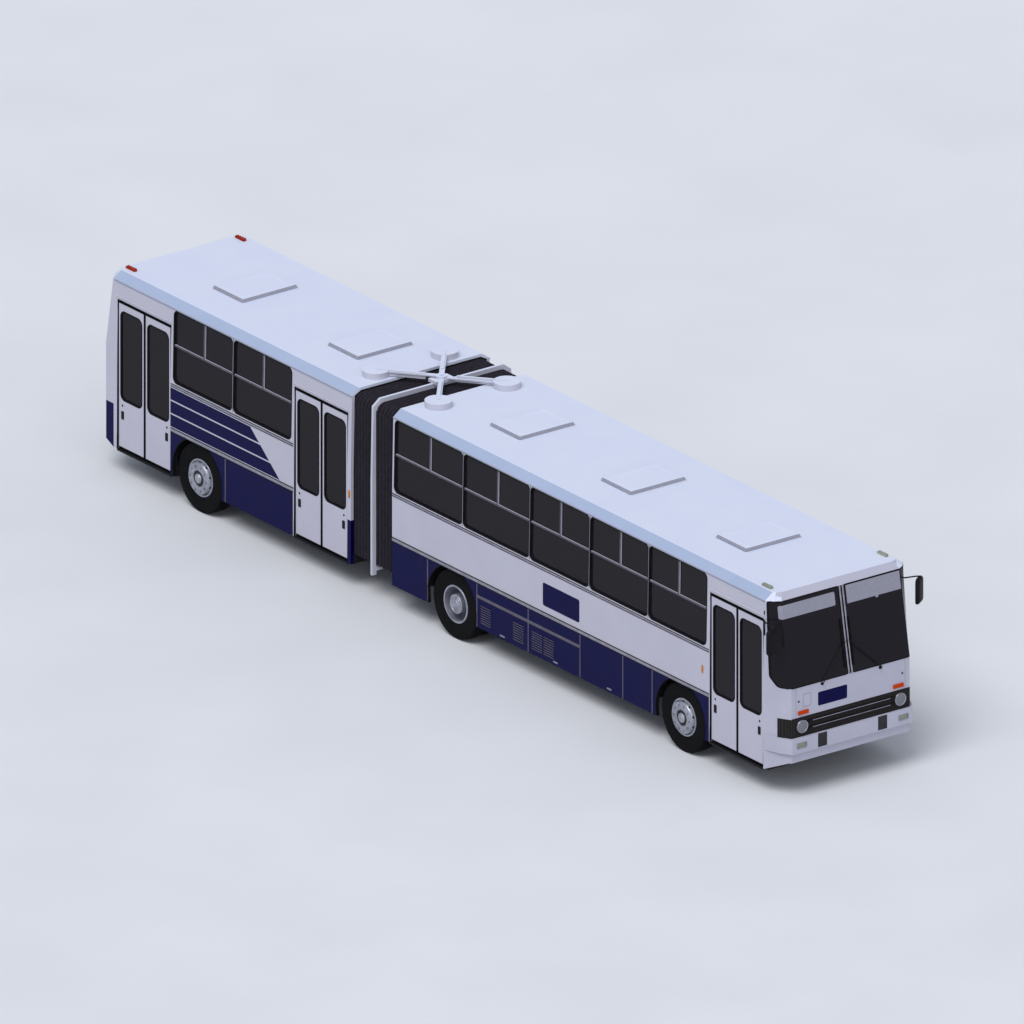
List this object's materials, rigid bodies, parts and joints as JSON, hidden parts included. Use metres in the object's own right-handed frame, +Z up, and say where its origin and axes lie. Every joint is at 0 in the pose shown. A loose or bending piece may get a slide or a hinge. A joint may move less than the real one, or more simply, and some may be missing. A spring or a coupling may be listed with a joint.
{
  "type": "articulated city bus",
  "caption": "Two-section city bus with a turntable joint, folded bellows, inward-swinging double doors and steered front wheels.",
  "frame": {"origin": "on the ground under the middle of the bus", "axes": "+X forward, +Y to the bus's left, +Z up"},
  "size_m": [16.5, 2.94, 3.205],
  "materials": {
    "body_paint": "satin coach enamel",
    "roof_paint": "satin coach enamel",
    "glass": "tinted safety glass",
    "black_frame": "black stoved paint",
    "bumper_plastic": "moulded plastic",
    "lamp_lens": "moulded lens",
    "mirror_shell": "moulded plastic",
    "floor_cover": "ribbed floor covering on plywood",
    "chassis_steel": "chassis black",
    "cast_parts": "painted casting",
    "seat_shell": "moulded seat shell",
    "bellows_cloth": "coated bellows fabric",
    "hoop_metal": "painted hoop",
    "tyre_rubber": "tyre rubber",
    "wheel_paint": "painted steel disc",
    "door_paint": "satin coach enamel",
    "tail_lens": "red lens"
  },
  "bodies": {
    "front_section": {"front_left_wall": "body_paint", "front_right_wall": "body_paint", "front_roof": "roof_paint", "front_mask": "body_paint", "front_glass": "glass", "front_portal": "black_frame", "front_bumper": "body_paint", "front_lamps": "lamp_lens", "mirrors": "mirror_shell", "front_floor": "floor_cover", "front_chassis": "chassis_steel", "engine": "cast_parts", "front_axle": "cast_parts", "drive_axle": "cast_parts", "turntable_base": "chassis_steel", "front_roof_link": "hoop_metal", "front_seats": "seat_shell"},
    "rear_section": {"rear_left_wall": "body_paint", "rear_right_wall": "body_paint", "rear_roof": "roof_paint", "tail_panel": "body_paint", "rear_glass": "glass", "rear_portal": "black_frame", "rear_floor": "floor_cover", "rear_chassis": "chassis_steel", "rear_axle": "cast_parts", "rear_seats": "seat_shell", "rear_lamps": "tail_lens", "rear_roof_link": "hoop_metal", "turntable_plate": "chassis_steel", "rear_bellows": "bellows_cloth"},
    "middle_hoop": {"hoop": "hoop_metal", "front_bellows": "bellows_cloth"},
    "left_steering": {"left_knuckle": "cast_parts"},
    "right_steering": {"right_knuckle": "cast_parts"},
    "front_left_wheel": {"front_left_tyre": "tyre_rubber", "front_left_rim": "wheel_paint"},
    "middle_left_wheel": {"middle_left_tyres": "tyre_rubber", "middle_left_rims": "wheel_paint"},
    "rear_left_wheel": {"rear_left_tyre": "tyre_rubber", "rear_left_rim": "wheel_paint"},
    "front_right_wheel": {"front_right_tyre": "tyre_rubber", "front_right_rim": "wheel_paint"},
    "middle_right_wheel": {"middle_right_tyres": "tyre_rubber", "middle_right_rims": "wheel_paint"},
    "rear_right_wheel": {"rear_right_tyre": "tyre_rubber", "rear_right_rim": "wheel_paint"},
    "front_door_fore_post": {"front_door_fore_arm": "chassis_steel"},
    "front_door_fore_leaf": {"front_door_fore_leaf": "door_paint"},
    "front_door_aft_post": {"front_door_aft_arm": "chassis_steel"},
    "front_door_aft_leaf": {"front_door_aft_leaf": "door_paint"},
    "middle_door_fore_post": {"middle_door_fore_arm": "chassis_steel"},
    "middle_door_fore_leaf": {"middle_door_fore_leaf": "door_paint"},
    "middle_door_aft_post": {"middle_door_aft_arm": "chassis_steel"},
    "middle_door_aft_leaf": {"middle_door_aft_leaf": "door_paint"},
    "rear_door_fore_post": {"rear_door_fore_arm": "chassis_steel"},
    "rear_door_fore_leaf": {"rear_door_fore_leaf": "door_paint"},
    "rear_door_aft_post": {"rear_door_aft_arm": "chassis_steel"},
    "rear_door_aft_leaf": {"rear_door_aft_leaf": "door_paint"}
  },
  "joints": [
    {"name": "articulation", "type": "hinge", "parent": "front_section", "child": "rear_section", "pos_m": [-1.652, 0, 0.69], "axis": [0, 0, 1], "range_deg": [-38, 38], "deforming": ["rear_bellows"]},
    {"name": "hoop_turn", "type": "hinge", "parent": "front_section", "child": "middle_hoop", "pos_m": [-1.652, 0, 0.69], "axis": [0, 0, 1], "range_deg": [-19, 19], "deforming": ["front_bellows"]},
    {"name": "steering_left", "type": "hinge", "parent": "front_section", "child": "left_steering", "pos_m": [5.79, 0.93, 0.535], "axis": [0, 0, 1], "range_deg": [-35, 35]},
    {"name": "steering_right", "type": "hinge", "parent": "front_section", "child": "right_steering", "pos_m": [5.79, -0.93, 0.535], "axis": [0, 0, 1], "range_deg": [-35, 35]},
    {"name": "front_left_wheel_spin", "type": "hinge", "parent": "left_steering", "child": "front_left_wheel", "pos_m": [5.79, 1.08, 0.535], "axis": [0, 1, 0], "continuous": true},
    {"name": "middle_left_wheel_spin", "type": "hinge", "parent": "front_section", "child": "middle_left_wheel", "pos_m": [0.29, 0.92, 0.535], "axis": [0, 1, 0], "continuous": true},
    {"name": "rear_left_wheel_spin", "type": "hinge", "parent": "rear_section", "child": "rear_left_wheel", "pos_m": [-5.85, 1.08, 0.535], "axis": [0, 1, 0], "continuous": true},
    {"name": "front_right_wheel_spin", "type": "hinge", "parent": "right_steering", "child": "front_right_wheel", "pos_m": [5.79, -1.08, 0.535], "axis": [0, 1, 0], "continuous": true},
    {"name": "middle_right_wheel_spin", "type": "hinge", "parent": "front_section", "child": "middle_right_wheel", "pos_m": [0.29, -0.92, 0.535], "axis": [0, 1, 0], "continuous": true},
    {"name": "rear_right_wheel_spin", "type": "hinge", "parent": "rear_section", "child": "rear_right_wheel", "pos_m": [-5.85, -1.08, 0.535], "axis": [0, 1, 0], "continuous": true},
    {"name": "front_door_aft_post_turn", "type": "hinge", "parent": "front_section", "child": "front_door_aft_post", "pos_m": [6.586, -1.165, 0.4], "axis": [0, 0, 1], "range_deg": [0, 88]},
    {"name": "front_door_aft_leaf_turn", "type": "hinge", "parent": "front_door_aft_post", "child": "front_door_aft_leaf", "pos_m": [6.8135, -1.165, 0.4], "axis": [0, 0, -1], "range_deg": [0, 176]},
    {"name": "front_door_fore_post_turn", "type": "hinge", "parent": "front_section", "child": "front_door_fore_post", "pos_m": [7.686, -1.165, 0.4], "axis": [0, 0, -1], "range_deg": [0, 88]},
    {"name": "front_door_fore_leaf_turn", "type": "hinge", "parent": "front_door_fore_post", "child": "front_door_fore_leaf", "pos_m": [7.4585, -1.165, 0.4], "axis": [0, 0, 1], "range_deg": [0, 176]},
    {"name": "middle_door_aft_post_turn", "type": "hinge", "parent": "rear_section", "child": "middle_door_aft_post", "pos_m": [-3.427, -1.165, 0.4], "axis": [0, 0, 1], "range_deg": [0, 88]},
    {"name": "middle_door_aft_leaf_turn", "type": "hinge", "parent": "middle_door_aft_post", "child": "middle_door_aft_leaf", "pos_m": [-3.1995, -1.165, 0.4], "axis": [0, 0, -1], "range_deg": [0, 176]},
    {"name": "middle_door_fore_post_turn", "type": "hinge", "parent": "rear_section", "child": "middle_door_fore_post", "pos_m": [-2.327, -1.165, 0.4], "axis": [0, 0, -1], "range_deg": [0, 88]},
    {"name": "middle_door_fore_leaf_turn", "type": "hinge", "parent": "middle_door_fore_post", "child": "middle_door_fore_leaf", "pos_m": [-2.5545, -1.165, 0.4], "axis": [0, 0, 1], "range_deg": [0, 176]},
    {"name": "rear_door_aft_post_turn", "type": "hinge", "parent": "rear_section", "child": "rear_door_aft_post", "pos_m": [-7.688, -1.165, 0.4], "axis": [0, 0, 1], "range_deg": [0, 88]},
    {"name": "rear_door_aft_leaf_turn", "type": "hinge", "parent": "rear_door_aft_post", "child": "rear_door_aft_leaf", "pos_m": [-7.4605, -1.165, 0.4], "axis": [0, 0, -1], "range_deg": [0, 176]},
    {"name": "rear_door_fore_post_turn", "type": "hinge", "parent": "rear_section", "child": "rear_door_fore_post", "pos_m": [-6.588, -1.165, 0.4], "axis": [0, 0, -1], "range_deg": [0, 88]},
    {"name": "rear_door_fore_leaf_turn", "type": "hinge", "parent": "rear_door_fore_post", "child": "rear_door_fore_leaf", "pos_m": [-6.8155, -1.165, 0.4], "axis": [0, 0, 1], "range_deg": [0, 176]}
  ],
  "couplings": [
    {"joint": "hoop_turn", "follows": "articulation", "ratio": 0.5},
    {"joint": "steering_right", "follows": "steering_left", "ratio": 1},
    {"joint": "front_door_aft_leaf_turn", "follows": "front_door_aft_post_turn", "ratio": 2},
    {"joint": "front_door_fore_post_turn", "follows": "front_door_aft_post_turn", "ratio": 1},
    {"joint": "front_door_fore_leaf_turn", "follows": "front_door_aft_post_turn", "ratio": 2},
    {"joint": "middle_door_aft_leaf_turn", "follows": "middle_door_aft_post_turn", "ratio": 2},
    {"joint": "middle_door_fore_post_turn", "follows": "middle_door_aft_post_turn", "ratio": 1},
    {"joint": "middle_door_fore_leaf_turn", "follows": "middle_door_aft_post_turn", "ratio": 2},
    {"joint": "rear_door_aft_leaf_turn", "follows": "rear_door_aft_post_turn", "ratio": 2},
    {"joint": "rear_door_fore_post_turn", "follows": "rear_door_aft_post_turn", "ratio": 1},
    {"joint": "rear_door_fore_leaf_turn", "follows": "rear_door_aft_post_turn", "ratio": 2}
  ]
}
